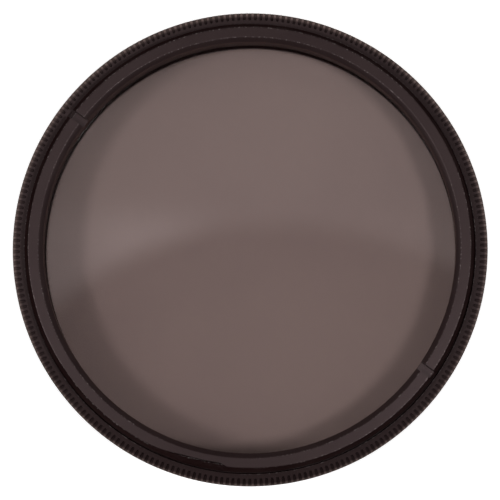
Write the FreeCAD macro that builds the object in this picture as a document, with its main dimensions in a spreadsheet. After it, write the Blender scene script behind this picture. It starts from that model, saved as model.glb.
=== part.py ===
"""Two-inch telescope polarizing filter: a knurled cell, a slotted threaded ring and a cemented polarizer.

Millimetres. +Z is the optical axis. The filter lies on the face round its female thread with the male
thread up, and the origin is the centre of that face.
"""
import FreeCAD, Part
import os

import Sketcher

# Driving sizes. Widths and steps are radial; heights, depths and thicknesses run along the axis.
SIZES = {
    # Both threads have one nominal diameter, so that filters stack
    "thread_diameter": 48.0,
    "male_allowance": 0.1,
    "thread_protrusion": 2.0,
    "thread_engagement": 1.7,
    "female_crest_height": 0.4,
    "female_depth": 2.4,
    "female_chamfer": 0.4,
    # Cell: a shoulder with a knurled edge, a plain lip under the knurl, and a plain band below
    "shoulder_width": 1.2,
    "lip_height": 0.6,
    "band_step": 0.3,
    "base_chamfer": 0.3,
    # Straight knurl of V grooves with sharp crests, open at the shoulder and closed by the lip below
    "knurl_teeth": 262,
    "knurl_height": 1.4,
    "knurl_depth": 0.6,
    "knurl_setback": 0.05,
    # Seat and ledge that carry the glass; the glass stands proud of the thread's end, so the ring reaches it
    "seat_step": 0.55,
    "ledge_width": 1.5,
    "ledge_thickness": 0.7,
    "glass_proud": 0.15,
    # Cemented polarizer: a film between two discs with bevelled edges
    "glass_clearance": 0.05,
    "glass_thickness": 0.9,
    "glass_bevel": 0.15,
    "film_thickness": 0.2,
    "film_inset": 0.2,
    # Threaded ring that clamps the glass: it reaches in past the ledge, is relieved at the shoulder, and has
    # one saw cut across it for a spanner
    "ring_overhang": 0.15,
    "ring_bevel_width": 0.5,
    "ring_bevel_depth": 0.3,
    "ring_end_chamfer": 0.45,
    "ring_foot_chamfer": 0.25,
    "relief_width": 0.6,
    "relief_depth": 0.5,
    "relief_above": 0.1,
    "notch_width": 0.9,
    "notch_depth": 1.0,
    "notch_offset": 0.4,
    "notch_angle": 144.3,
}

# Radii, from the thread inwards and outwards
THREAD_RADIUS = "Sizes.thread_diameter / 2"
MALE_RADIUS = f"({THREAD_RADIUS} - Sizes.male_allowance)"
FEMALE_RADIUS = f"({THREAD_RADIUS} - Sizes.female_crest_height)"
RIM_RADIUS = f"({THREAD_RADIUS} + Sizes.shoulder_width)"
BAND_RADIUS = f"({RIM_RADIUS} - Sizes.band_step)"
SEAT_RADIUS = f"({THREAD_RADIUS} - Sizes.seat_step)"
GLASS_RADIUS = f"({SEAT_RADIUS} - Sizes.glass_clearance)"
LEDGE_RADIUS = f"({SEAT_RADIUS} - Sizes.ledge_width)"
APERTURE_RADIUS = f"({LEDGE_RADIUS} - Sizes.ring_overhang)"
BLANK_RADIUS = f"({RIM_RADIUS} - Sizes.knurl_setback / 2)"
CREST_RADIUS = f"({RIM_RADIUS} - Sizes.knurl_setback)"
ROOT_RADIUS = f"({CREST_RADIUS} - Sizes.knurl_depth)"

# Heights, from the base up
LEDGE_TOP = "(Sizes.female_depth + Sizes.ledge_thickness)"
FILM_BOTTOM = f"({LEDGE_TOP} + Sizes.glass_thickness)"
FILM_TOP = f"({FILM_BOTTOM} + Sizes.film_thickness)"
GLASS_TOP = f"({FILM_TOP} + Sizes.glass_thickness)"
SHOULDER = f"({GLASS_TOP} + Sizes.thread_engagement)"
LIP_TOP = f"({SHOULDER} - Sizes.knurl_height)"
LIP_BOTTOM = f"({LIP_TOP} - Sizes.lip_height)"
RING_HEIGHT = "(Sizes.thread_engagement + Sizes.thread_protrusion)"
RELIEF_TOP = "(Sizes.thread_engagement + Sizes.relief_above)"
RELIEF_BOTTOM = f"({RELIEF_TOP} - Sizes.relief_width)"


def make_sheet(doc):
    """Driving sizes, one row each: the name, and the number under that alias."""
    sheet = doc.addObject("Spreadsheet::Sheet", "Sizes")
    for row, (alias, value) in enumerate(SIZES.items(), start=1):
        sheet.set(f"A{row}", alias)
        sheet.set(f"B{row}", str(value))
        sheet.setAlias(f"B{row}", alias)
    doc.recompute()
    return sheet


def attached_sketch(body, name, plane_role):
    """Empty sketch on one of the body's own origin planes."""
    plane = next(feature for feature in body.Origin.OriginFeatures if feature.Role == plane_role)
    sketch = body.newObject("Sketcher::SketchObject", name)
    sketch.AttachmentSupport = [(plane, "")]
    sketch.MapMode = "FlatFace"
    return sketch


def draw_outline(sketch, corners):
    """Closed polygon; each corner is a pair of expressions, across and up from the sketch's origin."""
    places = [FreeCAD.Vector(*(float(sketch.evalExpression(term)) for term in corner)) for corner in corners]
    count = len(corners)
    for index in range(count):
        sketch.addGeometry(Part.LineSegment(places[index], places[(index + 1) % count]), False)
    for index, corner in enumerate(corners):
        sketch.addConstraint(Sketcher.Constraint("Coincident", index, 2, (index + 1) % count, 1))
        for kind, term, value in zip(("DistanceX", "DistanceY"), corner, places[index]):
            held = sketch.addConstraint(Sketcher.Constraint(kind, -1, 1, index, 1, value))
            sketch.setExpression(f"Constraints[{held}]", term)


def turned_body(doc, label, corners):
    """Piece turned about +Z from the section through its corners (radius, height)."""
    body = doc.addObject("PartDesign::Body", label)
    body.Label = label
    section = attached_sketch(body, f"{label}_section", "XZ_Plane")
    draw_outline(section, corners)
    turned = body.newObject("PartDesign::Revolution", f"{label}_turned")
    turned.Profile = section
    turned.ReferenceAxis = (section, ["V_Axis"])
    turned.Angle = 360
    doc.recompute()
    return body


def cut_down(body, name, height, depth, corners):
    """Pocket of the outline, cut downwards from a height."""
    outline = attached_sketch(body, f"{name}_outline", "XY_Plane")
    outline.setExpression("AttachmentOffset.Base.z", height)
    draw_outline(outline, corners)
    pocket = body.newObject("PartDesign::Pocket", name)
    pocket.Profile = outline
    pocket.setExpression("Length", depth)
    return pocket


def make_cell(doc):
    """Turned cell: female thread below, ledge and glass seat, then ring thread and knurled shoulder above."""
    cell = turned_body(doc, "knurled_cell", [
        (f"{FEMALE_RADIUS} + Sizes.female_chamfer", "0"),
        (f"{BAND_RADIUS} - Sizes.base_chamfer", "0"),
        (BAND_RADIUS, "Sizes.base_chamfer"),
        (BAND_RADIUS, LIP_BOTTOM),
        (RIM_RADIUS, LIP_BOTTOM),
        (RIM_RADIUS, LIP_TOP),
        (BLANK_RADIUS, LIP_TOP),
        (BLANK_RADIUS, SHOULDER),
        (THREAD_RADIUS, SHOULDER),
        (THREAD_RADIUS, f"{GLASS_TOP} - Sizes.glass_proud"),
        (SEAT_RADIUS, f"{GLASS_TOP} - Sizes.glass_proud"),
        (SEAT_RADIUS, LEDGE_TOP),
        (LEDGE_RADIUS, LEDGE_TOP),
        (LEDGE_RADIUS, "Sizes.female_depth"),
        (FEMALE_RADIUS, "Sizes.female_depth"),
        (FEMALE_RADIUS, "Sizes.female_chamfer"),
    ])
    # Neighbouring flanks cross at the crests, a little below the turned blank, and each cut ends over the lip
    half_pitch = f"pi * {CREST_RADIUS} / Sizes.knurl_teeth"
    outside = f"{RIM_RADIUS} - Sizes.knurl_setback / 4"
    half_mouth = f"({outside} - {ROOT_RADIUS}) / Sizes.knurl_depth * {half_pitch}"
    groove = cut_down(cell, "knurl_groove", SHOULDER, "Sizes.knurl_height", [
        (ROOT_RADIUS, "0"),
        (outside, f"-{half_mouth}"),
        (outside, half_mouth),
    ])
    knurl = cell.newObject("PartDesign::PolarPattern", "knurl")
    knurl.Originals = [groove]
    knurl.Axis = (groove.Profile[0], ["N_Axis"])
    knurl.Angle = 360
    knurl.setExpression("Occurrences", "Sizes.knurl_teeth")
    cell.Tip = knurl
    return cell


def make_ring(doc):
    """Male-threaded ring, standing on the glass, turned to where its saw cut lies when it is tight."""
    ring = turned_body(doc, "slotted_ring", [
        (APERTURE_RADIUS, "0"),
        (f"{MALE_RADIUS} - Sizes.ring_foot_chamfer", "0"),
        (MALE_RADIUS, "Sizes.ring_foot_chamfer"),
        (MALE_RADIUS, RELIEF_BOTTOM),
        (f"{MALE_RADIUS} - Sizes.relief_depth", RELIEF_BOTTOM),
        (f"{MALE_RADIUS} - Sizes.relief_depth", RELIEF_TOP),
        (MALE_RADIUS, RELIEF_TOP),
        (MALE_RADIUS, f"{RING_HEIGHT} - Sizes.ring_end_chamfer"),
        (f"{MALE_RADIUS} - Sizes.ring_end_chamfer", RING_HEIGHT),
        (f"{APERTURE_RADIUS} + Sizes.ring_bevel_width", RING_HEIGHT),
        (APERTURE_RADIUS, f"{RING_HEIGHT} - Sizes.ring_bevel_depth"),
    ])
    near_side = "-Sizes.notch_offset - Sizes.notch_width / 2"
    far_side = "-Sizes.notch_offset + Sizes.notch_width / 2"
    cut_down(ring, "spanner_notches", RING_HEIGHT, "Sizes.notch_depth", [
        (f"-{THREAD_RADIUS}", near_side),
        (THREAD_RADIUS, near_side),
        (THREAD_RADIUS, far_side),
        (f"-{THREAD_RADIUS}", far_side),
    ])
    ring.Placement.Rotation = FreeCAD.Rotation(FreeCAD.Vector(0, 0, 1), SIZES["notch_angle"])
    ring.setExpression("Placement.Rotation.Angle", "Sizes.notch_angle")
    ring.setExpression("Placement.Base.z", GLASS_TOP)
    return ring


def make_glass(doc, label, bottom):
    """Ground disc with a small bevel round both faces, standing at the height given."""
    glass = turned_body(doc, label, [
        ("0", "0"),
        (f"{GLASS_RADIUS} - Sizes.glass_bevel", "0"),
        (GLASS_RADIUS, "Sizes.glass_bevel"),
        (GLASS_RADIUS, "Sizes.glass_thickness - Sizes.glass_bevel"),
        (f"{GLASS_RADIUS} - Sizes.glass_bevel", "Sizes.glass_thickness"),
        ("0", "Sizes.glass_thickness"),
    ])
    glass.setExpression("Placement.Base.z", bottom)
    return glass


def make_film(doc):
    """Polarizing sheet between the discs, cut a little smaller than they are."""
    film = turned_body(doc, "polarizing_film", [
        ("0", "0"),
        (f"{GLASS_RADIUS} - Sizes.film_inset", "0"),
        (f"{GLASS_RADIUS} - Sizes.film_inset", "Sizes.film_thickness"),
        ("0", "Sizes.film_thickness"),
    ])
    film.setExpression("Placement.Base.z", FILM_BOTTOM)
    return film


def check_model(doc, pieces):
    """Stop on a failed object, a cut that removed nothing, or a piece that isn't one sound solid."""
    for item in doc.Objects:
        if "Invalid" in item.State or "Error" in item.State:
            raise RuntimeError(f"{item.Name} failed: {item.State}")
        if item.isDerivedFrom("PartDesign::Pocket") and item.Shape.Volume >= item.BaseFeature.Shape.Volume:
            raise RuntimeError(f"{item.Name} cuts nothing")
    for piece in pieces:
        if piece.Shape.isNull() or not piece.Shape.isValid() or len(piece.Shape.Solids) != 1:
            raise RuntimeError(f"{piece.Label} is not one sound solid")


def main():
    doc = FreeCAD.newDocument("PolarizingFilter")
    make_sheet(doc)
    pieces = [
        make_cell(doc),
        make_ring(doc),
        make_glass(doc, "upper_glass", FILM_TOP),
        make_film(doc),
        make_glass(doc, "lower_glass", LEDGE_TOP),
    ]
    doc.recompute()
    check_model(doc, pieces)
    os.makedirs("parts", exist_ok=True)
    for piece in pieces:
        piece.Shape.exportStep(f"parts/{piece.Label}.step")


main()
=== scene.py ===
"""Dresses the polarizing filter: cut threads, knurl, turned and anodized metal, tinted film between glass.

The mesh code works in millimetres in the part's own frame, with the filter lying on z = 0, male thread up.
Materials, lamps and the stage are in metres.
"""
import math

import bmesh
import bpy
import numpy as np
from mathutils import Matrix, Vector


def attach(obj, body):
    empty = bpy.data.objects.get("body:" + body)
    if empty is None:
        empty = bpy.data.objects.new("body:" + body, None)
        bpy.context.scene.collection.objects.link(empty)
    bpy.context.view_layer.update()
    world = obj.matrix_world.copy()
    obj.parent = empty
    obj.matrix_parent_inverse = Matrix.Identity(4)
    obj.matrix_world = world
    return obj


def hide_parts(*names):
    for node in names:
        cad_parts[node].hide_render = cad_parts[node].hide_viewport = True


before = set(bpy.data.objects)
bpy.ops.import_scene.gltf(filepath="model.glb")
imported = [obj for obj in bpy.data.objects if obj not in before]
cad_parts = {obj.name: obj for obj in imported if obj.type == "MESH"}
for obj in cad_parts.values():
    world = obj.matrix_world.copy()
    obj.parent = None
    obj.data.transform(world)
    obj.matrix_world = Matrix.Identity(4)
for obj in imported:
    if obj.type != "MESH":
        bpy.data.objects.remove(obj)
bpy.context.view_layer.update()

MM = 0.001
TURN = 2 * math.pi

# Radii, heights and widths of the solids, with shorter knurl grooves and small trims to the photo
TEETH = 262
RIM, CREST, ROOT = 25.2, 25.15, 24.4
LIP, LIP_BOTTOM, LIP_TOP, SHOULDER = 25.14, 4.8, 5.4, 6.8
LIP_CHAMFER, LIP_FILLET = 0.1, 0.04
BAND, BASE_CHAMFER, BASE_MIDDLE = 24.9, 0.3, 24.3
BORE, BORE_EDGE, BORE_FLOOR = 24.0, 23.9, 4.95
SEAT, LEDGE, LEDGE_TOP, LEDGE_BOTTOM = 23.45, 21.88, 3.095, 2.4
FEMALE, FEMALE_CHAMFER = 23.6, 0.4
MALE, APERTURE, RING_FOOT, RING_END = 23.8, 21.8, 5.1, 8.8
FOOT_CHAMFER, END_CHAMFER = 0.25, 0.41
RELIEF, RELIEF_BOTTOM, RELIEF_TOP = 23.4, 6.3, 6.9
BEVEL_WIDTH, BEVEL_DEPTH = 0.54, 0.3
FLARE, FLARE_TOP = 0.12, 5.8
NOTCH_FLOOR, NOTCH_SIDES, NOTCH_ANGLE = 7.8, (-0.85, 0.05), 143.9
# The film stays a hair clear of the discs, so that no two faces coincide
FILM, FILM_CENTRE, FILM_BOTTOM, FILM_TOP = 23.2, 0.4, 4.006, 4.194

# Knurl: rounded grooves, the mouth as a share of the pitch, over a collar with shallow flutes below it
GROOVE_SHARE, GROOVE_POWER, GROOVE_FLOOR = 0.6, 4, 6.4
FLUTE_DEPTH, FLUTE_TOP = 0.12, GROOVE_FLOOR - 0.3
COLLAR_BOTTOM, COLLAR_TOP = GROOVE_FLOOR - 0.12, GROOVE_FLOOR - 0.04

# Edge breaks, and the narrow lip at the top of the bore that takes the ring
EDGE_BREAK, BORE_BREAK, FINE_BREAK = 0.03, 0.025, 0.02
BORE_LIP_BOTTOM, BORE_STEP_BOTTOM = SHOULDER - 0.25, SHOULDER - 0.35
# Extra rows that keep shading flat on the shoulder, the ring's end face and its bevel, and rows down its bore
SHOULDER_LOOP, END_LOOP, LAND_LOOPS = 0.08, 0.06, (22.8, 22.6)
END_INSETS = {"edge": 0.05, "land": 0.09}
BEVEL_LOOPS = ((0.02, 0.012), (0.06, 0.034))
RING_BORE_ROWS = (8.1, NOTCH_FLOOR, 7.2, 6.4, FLARE_TOP)

# Thread form: half of the groove's mouth in pitches, and the V's depth in depths of its flat root
PITCH, THREAD_DEPTH = 0.75, 0.46
THREAD_MOUTH, THREAD_POINT = 0.42, 1.2
FEMALE_RUNOUT = (LEDGE_BOTTOM - 0.55, LEDGE_BOTTOM - 0.25)

# Where the male groove leaves the ring's end: a scrape grows into a torn bite, over angles in degrees
START_ANGLE = math.radians(256)
SCRAPE, SCRAPE_GROWS = 0.1, (228, 247)
BITE, BITE_GROWS, BITE_ENDS = 0.3, (245, 254), (262, 265)
BITE_HEIGHT, BITE_SLOPE, LEAST_BITE = 1.3, 0.25, 0.005

# Fineness of the meshes, and the crease angle in degrees
TOOTH_SAMPLES, RING_COLUMNS, FILM_SIDES = 16, 640, 256
FEMALE_ROWS, FOOT_ROWS, THREAD_ROWS, CHAMFER_ROWS = 61, 20, 38, 12
CREASE = 32
# Points this close, in metres, are merged, and edges this short dissolved
MERGE_DISTANCE, SLIVER_LENGTH = 2e-7, 1e-7
# Angles at the notches: room beside a wall, the step that doubles it, and where columns stop leaning
NOTCH_ROOM, NOTCH_STEP = math.radians(0.12), 1e-9
LEAN_ENDS = (math.radians(4), math.radians(12))


def smooth(x, low, high):
    """0 below low, 1 above high, eased between."""
    t = np.clip((np.asarray(x, float) - low) / (high - low), 0, 1)
    return t * t * (3 - 2 * t)


def thread_cut(height, angle, start_height, start_angle):
    """Depth of a right-handed V groove with a flat root, whose middle passes through the start."""
    phase = ((height - start_height) / PITCH - (angle - start_angle) / TURN + 0.5) % 1 - 0.5
    return np.clip(THREAD_POINT * THREAD_DEPTH * (1 - np.abs(phase) / THREAD_MOUTH), 0, THREAD_DEPTH)


def circle(count):
    """Even angles round the axis."""
    return np.arange(count) / count * TURN


def places(radius, angle, height):
    """Points from cylindrical coordinates, as one list."""
    radius, angle, height = np.broadcast_arrays(radius, angle, height)
    return np.stack([radius * np.cos(angle), radius * np.sin(angle), height], -1).reshape(-1, 3)


def strip_faces(rings):
    """Quads between each closed ring of vertex numbers and the next, all of the same count."""
    faces = []
    for lower, upper in zip(rings, rings[1:]):
        faces += np.stack([lower, np.roll(lower, -1), np.roll(upper, -1), upper], -1).tolist()
    return faces


def stepped_faces(fine, coarse):
    """Flat faces between two closed rings, the first with several edges for each of the second's."""
    step = len(fine) // len(coarse)
    faces = []
    for index, corner in enumerate(coarse):
        run = [int(fine[(index * step + k) % len(fine)]) for k in range(step + 1)]
        faces.append(run + [int(coarse[(index + 1) % len(coarse)]), int(corner)])
    return faces


def make_piece(name, points, faces):
    """Mesh object from points in millimetres, doubles merged, smooth up to the crease angle."""
    mesh = bpy.data.meshes.new(name)
    mesh.from_pydata((np.asarray(points) * MM).tolist(), [], faces)
    shape = bmesh.new()
    shape.from_mesh(mesh)
    bmesh.ops.remove_doubles(shape, verts=shape.verts, dist=MERGE_DISTANCE)
    bmesh.ops.dissolve_degenerate(shape, edges=shape.edges, dist=SLIVER_LENGTH)
    bmesh.ops.recalc_face_normals(shape, faces=shape.faces)
    shape.to_mesh(mesh)
    shape.free()
    mesh.shade_smooth()
    mesh.set_sharp_from_angle(angle=math.radians(CREASE))
    piece = bpy.data.objects.new(name, mesh)
    bpy.context.scene.collection.objects.link(piece)
    return piece


def build_cell():
    """Cell with its knurl, lip, seat, ledge and female thread."""
    across = np.abs(np.arange(TOOTH_SAMPLES) / TOOTH_SAMPLES - 0.5) * 2 / GROOVE_SHARE
    groove = np.tile((1 - np.minimum(across, 1) ** GROOVE_POWER) ** (1 / GROOVE_POWER), TEETH)
    tooth = CREST - (CREST - ROOT) * groove
    flute = CREST - FLUTE_DEPTH * groove
    fine = circle(TEETH * TOOTH_SAMPLES)
    coarse = circle(TEETH * 2)
    points = []

    def add_rings(angle, section):
        """Vertex numbers of new rings, one for each radius and height in the section."""
        rings = []
        for radius, height in section:
            start = sum(len(block) for block in points)
            points.append(places(radius, angle, height))
            rings.append(np.arange(start, start + len(angle)))
        return rings

    # Base, band and the corner under the lip
    base = add_rings(coarse, [
        (BASE_MIDDLE, 0), (BAND - BASE_CHAMFER, 0), (BAND - FINE_BREAK, BASE_CHAMFER - FINE_BREAK),
        (BAND, BASE_CHAMFER + FINE_BREAK), (BAND, LIP_BOTTOM - LIP_FILLET), (BAND + LIP_FILLET, LIP_BOTTOM)])
    # Lip, flutes, collar and teeth, to a loop on the shoulder
    knurl = add_rings(fine, [
        (LIP - LIP_CHAMFER, LIP_BOTTOM), (LIP, LIP_BOTTOM + LIP_CHAMFER), (LIP, LIP_TOP),
        (flute, LIP_TOP + LIP_CHAMFER), (flute, FLUTE_TOP), (RIM, COLLAR_BOTTOM), (RIM, COLLAR_TOP),
        (RIM - EDGE_BREAK, GROOVE_FLOOR), (tooth, GROOVE_FLOOR), (tooth, SHOULDER - EDGE_BREAK),
        (np.minimum(tooth - FINE_BREAK, CREST - EDGE_BREAK), SHOULDER), (ROOT - SHOULDER_LOOP, SHOULDER)])
    # Shoulder, ring bore, seat and ledge
    inside = add_rings(coarse, [
        (ROOT - 2 * SHOULDER_LOOP, SHOULDER), (BORE_EDGE + BORE_BREAK, SHOULDER),
        (BORE_EDGE, SHOULDER - BORE_BREAK), (BORE_EDGE, BORE_LIP_BOTTOM), (BORE, BORE_STEP_BOTTOM),
        (BORE, BORE_FLOOR), (SEAT, BORE_FLOOR), (SEAT, LEDGE_TOP), (LEDGE + EDGE_BREAK, LEDGE_TOP),
        (LEDGE, LEDGE_TOP - EDGE_BREAK), (LEDGE, LEDGE_BOTTOM + EDGE_BREAK),
        (LEDGE + EDGE_BREAK, LEDGE_BOTTOM)])
    # Female thread, and the chamfer at its mouth
    for height in np.linspace(LEDGE_BOTTOM, 0, FEMALE_ROWS):
        fade = 1 - smooth(height, *FEMALE_RUNOUT)
        radius = FEMALE + fade * thread_cut(height, coarse, 0, 0)
        inside += add_rings(coarse, [(np.maximum(radius, FEMALE + FEMALE_CHAMFER - height), height)])

    faces = strip_faces(base) + stepped_faces(knurl[0], base[-1]) + strip_faces(knurl)
    faces += stepped_faces(knurl[-1], inside[0]) + strip_faces(inside + [base[0]])
    return make_piece("cell_cut", np.concatenate(points), faces)


def ring_wall(height, angle):
    """Outer radius of the threaded ring, with the bite where the groove starts."""
    radius = MALE - thread_cut(height, angle, RING_END, START_ANGLE)
    radius = np.minimum(radius, MALE - FOOT_CHAMFER + (height - RING_FOOT))
    radius = np.minimum(radius, MALE - (height - (RING_END - END_CHAMFER)))
    turned = np.degrees(angle)
    bite = SCRAPE * smooth(turned, *SCRAPE_GROWS) + BITE * smooth(turned, *BITE_GROWS)
    bite = bite * (1 - smooth(turned, *BITE_ENDS))
    floor = RING_END - BITE_HEIGHT * bite
    bitten = MALE - END_CHAMFER - bite + BITE_SLOPE * (RING_END - height)
    return np.where((height > floor) & (bite > LEAST_BITE), np.minimum(radius, bitten), radius)


def ring_section():
    """Radius and height of the ring's rows, from the foot up the thread, over the end face and down the bore.

    A word in place of a radius stands for one that changes round the ring.
    """
    chamfer = RING_END - END_CHAMFER
    inner = APERTURE + BEVEL_WIDTH
    bevel_foot = RING_END - BEVEL_DEPTH
    section = [("thread", RING_FOOT)]
    section += [("thread", z) for z in np.linspace(RING_FOOT + FOOT_CHAMFER, RELIEF_BOTTOM, FOOT_ROWS)]
    section += [(RELIEF, RELIEF_BOTTOM), (RELIEF, RELIEF_TOP)]
    section += [("thread", z) for z in np.linspace(RELIEF_TOP, chamfer, THREAD_ROWS)]
    section += [("thread", z) for z in np.linspace(chamfer, RING_END - END_LOOP, CHAMFER_ROWS)[1:]]
    section += [("thread", RING_END - FINE_BREAK), ("edge", RING_END), ("land", RING_END)]
    section += [(r, RING_END) for r in (*LAND_LOOPS, inner + END_LOOP, inner + FINE_BREAK)]
    section += [(inner - inset, RING_END - drop) for inset, drop in BEVEL_LOOPS]
    section += [(APERTURE + EDGE_BREAK, bevel_foot + FINE_BREAK), (APERTURE, bevel_foot - EDGE_BREAK)]
    section += [(APERTURE, z) for z in RING_BORE_ROWS]
    return section + [(APERTURE + FLARE, RING_FOOT)]


def build_ring():
    """Male-threaded ring with its relief, bevels and saw cut."""
    middle = (MALE + APERTURE) / 2
    cut = math.radians(NOTCH_ANGLE)
    left, right = NOTCH_SIDES
    notches = []
    for side, offsets in ((0, (left, right)), (math.pi, (-right, -left))):
        notches.append([(cut + side + math.asin(offset / middle)) % TURN for offset in offsets])

    # Columns round the ring, each with whether the saw cut it; a notch's walls are two columns at one place
    angles = circle(RING_COLUMNS)
    for wall in sum(notches, []):
        angles = angles[np.abs(angles - wall) > NOTCH_ROOM]
    columns = [(angle, any(low < angle < high for low, high in notches)) for angle in angles]
    for low, high in notches:
        columns += [(low, False), (low + NOTCH_STEP, True), (high - NOTCH_STEP, True), (high, False)]
    columns.sort()
    angle = np.array([place for place, _ in columns])
    notched = np.array([sawn for _, sawn in columns])

    radii, heights = [], []
    for radius, height in ring_section():
        cut_height = np.where(notched, np.minimum(height, NOTCH_FLOOR), height)
        if radius == "thread":
            around = ring_wall(cut_height, angle)
        elif radius in END_INSETS:
            outline = np.where(notched, MALE - END_CHAMFER, ring_wall(height, angle))
            around = outline - END_INSETS[radius]
        else:
            around = np.full(len(angle), radius)
        radii.append(around)
        heights.append(cut_height)
    radii = np.array(radii)

    # The saw cut's sides are parallel, so columns near it lean off the radius
    lean = np.zeros(radii.shape)
    for side in (0, math.pi):
        off = (angle - cut - side + math.pi) % TURN - math.pi
        near = 1 - smooth(np.abs(off), *LEAN_ENDS)
        lean += near * (np.arcsin(middle * np.sin(off) / radii * (near > 0)) - off) * (near > 0)
    points = places(radii, angle + lean, np.array(heights))
    rings = list(np.arange(radii.size).reshape(radii.shape))
    return make_piece("ring_cut", points, strip_faces(rings + rings[:1]))


def build_film():
    """Polarizing sheet, a flat disc."""
    outline = ((FILM_CENTRE, FILM_BOTTOM), (FILM, FILM_BOTTOM), (FILM, FILM_TOP), (FILM_CENTRE, FILM_TOP))
    points = np.concatenate([places(radius, circle(FILM_SIDES), height) for radius, height in outline])
    rings = np.arange(len(points)).reshape(len(outline), -1)
    faces = [rings[0][::-1].tolist(), rings[-1].tolist()]
    return make_piece("film_sheet", points, faces + strip_faces(rings))


class Graph:
    """Node tree of a new material, with short calls to add nodes."""

    # The Mix node's inputs for the factor and its two colours, and its output for the mixed one
    MIX_INPUTS, MIX_OUTPUT = (0, 6, 7), 2

    def __init__(self, name):
        self.material = bpy.data.materials.new(name)
        self.material.use_nodes = True
        self.tree = self.material.node_tree
        self.tree.nodes.clear()
        self.output = self.tree.nodes.new("ShaderNodeOutputMaterial")

    def feed(self, socket, value):
        """Input set to a value, or linked to another node's output."""
        if isinstance(value, bpy.types.NodeSocket):
            self.tree.links.new(value, socket)
        else:
            socket.default_value = value

    def add(self, kind, settings=None, values=(), **inputs):
        """Node of that kind, its inputs fed in their order from values, or by name with _ for a space."""
        node = self.tree.nodes.new("ShaderNode" + kind)
        for key, value in (settings or {}).items():
            setattr(node, key, value)
        for socket, value in zip(node.inputs, values):
            self.feed(socket, value)
        for key, value in inputs.items():
            self.feed(node.inputs[key.replace("_", " ")], value)
        return node

    def math(self, operation, *values):
        """Result of a Math node."""
        return self.add("Math", {"operation": operation}, values).outputs[0]

    def measure(self, operation, *vectors):
        """Number that a Vector Math node works out."""
        return self.add("VectorMath", {"operation": operation}, vectors).outputs["Value"]

    def noise(self, where, scale, detail):
        """Noise in space."""
        return self.add("TexNoise", Vector=where, Scale=scale, Detail=detail).outputs[0]

    def lines(self, along, scale, detail, roughness):
        """Noise along one coordinate."""
        return self.add("TexNoise", {"noise_dimensions": "1D"}, W=along, Scale=scale, Detail=detail,
                        Roughness=roughness).outputs[0]

    def ramp(self, value, span, result=(0.0, 1.0)):
        """Value mapped from the span to the result, clamped and eased."""
        node = self.add("MapRange", {"interpolation_type": "SMOOTHSTEP"}, Value=value, From_Min=span[0],
                        From_Max=span[1], To_Min=result[0], To_Max=result[1])
        return node.outputs["Result"]

    def mix(self, factor, one, other):
        """Colour mixed from two."""
        node = self.add("Mix", {"data_type": "RGBA"})
        for index, value in zip(self.MIX_INPUTS, (factor, one, other)):
            self.feed(node.inputs[index], value)
        return node.outputs[self.MIX_OUTPUT]

    def surface(self, shader):
        """The material, with that shader as its surface."""
        self.tree.links.new(shader.outputs[0], self.output.inputs["Surface"])
        return self.material


# Colours of the metal on its paler rim, in its pale specks of chips and painted glints, where it is torn, of
# the painted light on the ring's bore wall, and in reflections
PALE_RIM_COLOUR, CHIP_AND_GLINT_COLOUR, TORN = (0.13, 0.093, 0.084, 1.0), (0.105, 0.088, 0.086, 1.0), (0.1, 0.087, 0.085, 1.0)
PAINTED_WALL_LIGHT, REFLECTED = (0.056, 0.0345, 0.032, 1.0), (1.0, 0.77, 0.79, 1.0)
# Shares of the height, the fine lines and the grain in the turning marks
HEIGHT_SHARE, FINE_SHARE, GRAIN_SHARE = 1.37, 0.5, 0.35
# Where the paler rim is centred, how it sets in over radius, and over height towards the teeth
PALE_RIM_CENTRE, PALE_RIM_WIDTH, PALE_RIM_HEIGHTS = (0.00001, -0.00011, 0.0), 0.0004, (0.0064, 0.0067)
# Distance from an edge over which chips and painted glints end, and the radius inside which a dull outer edge
# is torn
CHIP_AND_GLINT_REACH, TORN_RADIUS = (0.00003, 0.00007), 0.0232
# How the bore wall sets in over radius and how the painted light on it grows with height, the gloss it keeps
# and its added roughness
WALL_WIDTH, WALL_LIGHT_HEIGHTS, WALL_GLOSS, WALL_ROUGHNESS = 0.00005, (0.0056, 0.007), 0.08, 0.3
# Stretch along Y over which the gloss changes, as painted shade or light on the -Y side
FADE_SPAN = (-0.022, 0.008)


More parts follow.
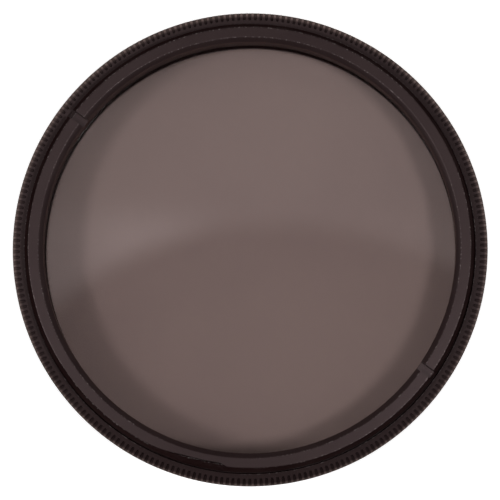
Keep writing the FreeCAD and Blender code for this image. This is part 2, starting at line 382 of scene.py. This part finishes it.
def turned_metal(name, dark, light, roughness, marks, gloss, fade, pale_from, bore, dull, edges):
    """Black anodized aluminium with turning marks round the axis and a fine grain.

    It is paler from the pale_from radius out, with pale specks in patches at the edges' radii that are partly
    chipped metal and partly painted glints, and inside the bore radius it is dim, rough and carries painted
    light, lighter towards the top. The gloss is multiplied by fade towards -Y, painted shade on the cell's -Y
    side and painted light on the ring's, and by the third dull value where radius plus height passes the
    first and height is below the second.
    """
    g = Graph(name)
    where = g.add("TexCoord").outputs["Object"]
    axes = g.add("SeparateXYZ", Vector=where).outputs
    flat = g.add("VectorMath", {"operation": "MULTIPLY"}, (where, (1.0, 1.0, 0.0))).outputs[0]
    radius = g.measure("LENGTH", flat)
    grain = g.noise(where, scale=9000.0, detail=2.0)
    cloud = g.noise(where, scale=260.0, detail=3.0)
    # Marks follow the radius on faces and the height on walls
    along = g.math("ADD", radius, g.math("MULTIPLY", axes["Z"], HEIGHT_SHARE))
    fine_lines = g.lines(along, scale=26000.0, detail=1.0, roughness=0.5)
    lines = g.lines(along, scale=9000.0, detail=2.0, roughness=0.6)
    lines = g.math("ADD", lines, g.math("MULTIPLY", fine_lines, FINE_SHARE))
    relief = g.math("ADD", g.math("MULTIPLY", lines, marks), g.math("MULTIPLY", grain, GRAIN_SHARE))
    bump = g.add("Bump", Strength=0.35, Distance=0.00002, Height=relief)
    colour = g.mix(g.ramp(cloud, (0.3, 0.7)), dark, light)
    colour = g.mix(g.ramp(lines, (0.5, 1.0), (0.0, 0.35)), colour, light)

    # Paler rim, from a radius out to the knurl's edge, stronger up on the teeth than lower down
    rim_distance = g.measure("DISTANCE", flat, PALE_RIM_CENTRE)
    pale_rim = g.math("MULTIPLY", g.ramp(rim_distance, (pale_from, pale_from + PALE_RIM_WIDTH)), g.ramp(cloud, (0.2, 0.6), (0.6, 1.0)))
    pale_rim = g.math("MULTIPLY", pale_rim, g.ramp(axes["Z"], PALE_RIM_HEIGHTS, (0.6, 1.2)))
    colour = g.mix(pale_rim, colour, PALE_RIM_COLOUR)
    # Pale specks along the edges: partly chipped metal, partly painted glints where the edges catch light
    speck = g.ramp(g.noise(where, scale=4200.0, detail=3.0), (0.5, 0.68))
    patches = g.ramp(g.noise(where, scale=75.0, detail=1.0), (0.4, 0.6), (0.1, 1.0))
    chip_and_glint = g.math("MULTIPLY", speck, patches)
    for edge in edges:
        gap = g.math("ABSOLUTE", g.math("SUBTRACT", radius, edge))
        near = g.ramp(gap, CHIP_AND_GLINT_REACH, (1.0, 0.0))
        colour = g.mix(g.math("MULTIPLY", near, chip_and_glint), colour, CHIP_AND_GLINT_COLOUR)
    # Bore wall: painted light, lighter towards the top, standing in for the light the wall catches
    wall = g.ramp(radius, (bore, bore + WALL_WIDTH), (1.0, 0.0))
    painted_wall_light = g.math("MULTIPLY", wall, g.ramp(axes["Z"], WALL_LIGHT_HEIGHTS))
    colour = g.mix(painted_wall_light, colour, PAINTED_WALL_LIGHT)
    # Dull outside; where the thread starts, its torn edge reaches further in than the chamfer
    dull_reach, dull_top, dull_gloss = dull
    outer = g.math("GREATER_THAN", g.math("ADD", radius, axes["Z"]), dull_reach)
    hidden = g.math("MULTIPLY", outer, g.math("LESS_THAN", axes["Z"], dull_top))
    torn = g.math("MULTIPLY", g.math("MULTIPLY", hidden, g.math("LESS_THAN", radius, TORN_RADIUS)), speck)
    colour = g.mix(torn, colour, TORN)

    sheen = g.ramp(hidden, (0.0, 1.0), (gloss, gloss * dull_gloss))
    shine = g.math("MULTIPLY", g.ramp(wall, (0.0, 1.0), (1.0, WALL_GLOSS)), sheen)
    # Gloss scaled towards -Y: painted shade on the cell's -Y side, painted light on the ring's
    shine = g.math("MULTIPLY", shine, g.ramp(axes["Y"], FADE_SPAN, (fade, 1.0)))
    rough = g.ramp(grain, (0.3, 0.7), (roughness - 0.05, roughness + 0.06))
    rough = g.math("ADD", rough, g.math("MULTIPLY", wall, WALL_ROUGHNESS))
    tangent = g.add("Tangent", {"direction_type": "RADIAL", "axis": "Z"})
    skin = g.add("BsdfPrincipled", Base_Color=colour, Roughness=rough, Normal=bump.outputs[0],
                 Tangent=tangent.outputs[0], Anisotropic=0.42, Anisotropic_Rotation=0.25,
                 Specular_IOR_Level=shine, Specular_Tint=REFLECTED)
    return g.surface(skin)


def coated_glass():
    """Clear polished glass; the faces cemented to the film don't reflect."""
    glass_index, film_height, film_reach = 1.5, 0.0041, 0.00025
    g = Graph("coated_glass")
    where = g.add("TexCoord").outputs["Object"]
    rough = g.ramp(g.noise(where, scale=300.0, detail=4.0), (0.45, 0.75), (0.004, 0.02))
    clear = g.add("BsdfTransparent", Color=(0.985, 0.985, 0.985, 1.0))
    shine = g.add("BsdfGlossy", Color=(1.0, 0.93, 0.95, 1.0), Roughness=rough)
    height = g.add("SeparateXYZ", Vector=where).outputs["Z"]
    from_film = g.math("ABSOLUTE", g.math("SUBTRACT", height, film_height))
    outer = g.math("GREATER_THAN", from_film, film_reach)
    # Rays go straight through, so a ray on its way out reflects as one on its way in
    leaving = g.add("NewGeometry").outputs["Backfacing"]
    index = g.ramp(leaving, (0.0, 1.0), (glass_index, 1 / glass_index))
    share = g.math("MULTIPLY", g.add("Fresnel", IOR=index).outputs[0], outer)
    return g.surface(g.add("MixShader", values=(share, clear.outputs[0], shine.outputs[0])))


def polarizing_sheet():
    """Smoke-grey film, slightly uneven in tint."""
    deep, pale = (0.71, 0.653, 0.642, 1.0), (0.725, 0.668, 0.655, 1.0)
    g = Graph("polarizing_sheet")
    where = g.add("TexCoord").outputs["Object"]
    wave = g.ramp(g.noise(where, scale=45.0, detail=2.0), (0.3, 0.7))
    return g.surface(g.add("BsdfTransparent", Color=g.mix(wave, deep, pale)))


def pale_floor():
    """Pale diffuse floor that camera rays see a little brighter, with its shadows kept."""
    paper_colour, added_glow = (0.86, 0.86, 0.86, 1.0), 0.6
    g = Graph("pale_floor")
    path = g.add("LightPath").outputs
    # Not through the glass, which would lighten its tint
    direct = g.math("LESS_THAN", path["Transparent Depth"], 0.5)
    seen = g.math("MULTIPLY", path["Is Camera Ray"], direct)
    seen = g.math("MAXIMUM", seen, path["Is Glossy Ray"])
    seen = g.math("MAXIMUM", seen, path["Is Transmission Ray"])
    paper = g.add("BsdfDiffuse", Color=paper_colour)
    glow = g.add("Emission", Color=(1.0, 1.0, 1.0, 1.0), Strength=g.math("MULTIPLY", seen, added_glow))
    return g.surface(g.add("AddShader", values=(paper.outputs[0], glow.outputs[0])))


def overhead_glow():
    """Light of the overhead panel, with a dim round opening that stands for the dark lens above the filter.

    Round it are a plain level, a band along X that fades towards +X, and a patch at the -X end.
    """
    # Places in metres from the panel's middle, and light levels
    opening, opening_edge, opening_level = (-0.0143, -0.016, 0.0), (0.1015, 0.112), 0.05
    band_normal, band_start, band_end = (0.042, 1.0, 0.0), (-0.06, -0.02), (0.083, 0.0985)
    band_rise, band_fall = (-0.08, -0.06), (-0.052, -0.026)
    rise_levels, fall_levels = (0.4, 1.0), (0.86, 0.12)
    plain_change, plain_levels = (-0.06, 0.0), (0.6, 0.58)
    patch_end, patch_sides = (-0.19, -0.13), (0.08, 0.14)
    g = Graph("overhead_glow")
    where = g.add("TexCoord").outputs["Object"]
    axes = g.add("SeparateXYZ", Vector=where).outputs
    along = g.measure("DOT_PRODUCT", where, band_normal)
    plain = g.ramp(along, plain_change, plain_levels)
    patch = g.ramp(g.math("ABSOLUTE", axes["Y"]), patch_sides, (1.0, 0.0))
    patch = g.math("MULTIPLY", g.ramp(axes["X"], patch_end, (1.0, 0.0)), patch)
    band = g.math("MULTIPLY", g.ramp(along, band_start), g.ramp(along, band_end, (1.0, 0.0)))
    rise = g.ramp(axes["X"], band_rise, rise_levels)
    reach = g.math("MULTIPLY", rise, g.ramp(axes["X"], band_fall, fall_levels))
    around = g.math("ADD", g.math("ADD", plain, patch), g.math("MULTIPLY", band, reach))
    outside = g.ramp(g.measure("DISTANCE", where, opening), opening_edge)
    added = g.math("MULTIPLY", outside, g.math("SUBTRACT", around, opening_level))
    level = g.math("ADD", opening_level, added)
    return g.surface(g.add("Emission", Color=(1.0, 0.97, 0.95, 1.0), Strength=level))


def soft_box(name, place, side, power):
    """Square soft light aimed at the filter."""
    light = bpy.data.lights.new(name, "AREA")
    light.shape = "SQUARE"
    light.size = side
    light.energy = power
    lamp = bpy.data.objects.new(name, light)
    lamp.matrix_world = Vector(place).to_track_quat("Z", "Y").to_matrix().to_4x4()
    lamp.matrix_world.translation = place
    bpy.context.scene.collection.objects.link(lamp)


def place_camera():
    """Long lens almost straight above, leaning towards -Y and a little towards +X."""
    # Millimetres from the middle of the shoulder to the picture's middle, and metres from there to the camera
    aim_right, aim_up, distance = 0.0241, -0.1687, 0.485
    back = Vector((0.026, -0.092, 1.0)).normalized()
    right = Vector((0.0, 1.0, 0.0)).cross(back).normalized()
    up = back.cross(right)
    target = (Vector((0.0, 0.0, SHOULDER)) + right * aim_right + up * aim_up) * MM
    camera = bpy.data.objects.new("camera", bpy.data.cameras.new("camera"))
    camera.matrix_world = Matrix((right, up, back)).transposed().to_4x4()
    camera.matrix_world.translation = target + back * distance
    camera.data.sensor_width = 36.0
    camera.data.lens = 329.5
    camera.data.clip_start = 0.01
    bpy.context.scene.collection.objects.link(camera)
    bpy.context.scene.camera = camera


# The ring has no paler rim and the cell has no such bore wall, so those two radii lie where there is no metal
cell_metal = turned_metal(
    "anodized_cell", dark=(0.0095, 0.004, 0.004, 1.0), light=(0.013, 0.0065, 0.0063, 1.0), roughness=0.48,
    marks=0.6, gloss=0.285, fade=0.53, pale_from=0.02474, bore=0.01, dull=(0.0303, 0.00676, 0.55),
    edges=(0.02394,))
ring_metal = turned_metal(
    "anodized_ring", dark=(0.0085, 0.0032, 0.0032, 1.0), light=(0.012, 0.0058, 0.0056, 1.0), roughness=0.42,
    marks=1.0, gloss=0.325, fade=1.1, pale_from=0.03, bore=0.02182, dull=(0.0313, 0.00877, 0.04),
    edges=(0.02337, 0.02234))
cell = build_cell()
cell.data.materials.append(cell_metal)
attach(cell, "root")
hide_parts("knurled_cell")
ring = build_ring()
ring.data.materials.append(ring_metal)
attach(ring, "root")
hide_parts("slotted_ring")

film = build_film()
film.data.materials.append(polarizing_sheet())
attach(film, "root")
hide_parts("polarizing_film")
glass = coated_glass()
for node in ("upper_glass", "lower_glass"):
    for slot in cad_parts[node].material_slots:
        slot.material = glass

# Floor just below the filter, panel overhead, weak even world, two lamps
FLOOR_SIZE, FLOOR_HEIGHT = 3.0, -0.00002
PANEL_WIDTH, PANEL_DEPTH, PANEL_HEIGHT = 1.9, 0.8, 0.9
bpy.ops.mesh.primitive_plane_add(size=FLOOR_SIZE, location=(0, 0, FLOOR_HEIGHT))
floor = bpy.context.object
floor.name = "floor"
floor.data.materials.append(pale_floor())
bpy.ops.mesh.primitive_plane_add(size=1.0, location=(0, 0, PANEL_HEIGHT))
panel = bpy.context.object
panel.data.transform(Matrix.Diagonal((PANEL_WIDTH, PANEL_DEPTH, 1.0, 1.0)))
panel.name = "overhead_panel"
panel.data.materials.append(overhead_glow())
world = bpy.data.worlds.new("studio")
world.use_nodes = True
sky = world.node_tree.nodes["Background"]
sky.inputs["Color"].default_value = (1.0, 0.99, 0.98, 1.0)
sky.inputs["Strength"].default_value = 0.2
bpy.context.scene.world = world
soft_box("left_box", place=(-0.40, -0.135, 0.88), side=0.18, power=3.3)
soft_box("right_box", place=(0.28, -0.135, 0.88), side=0.12, power=2.6)
place_camera()
bpy.context.scene.view_settings.view_transform = "Standard"
bpy.context.scene.cycles.transparent_max_bounces = 24
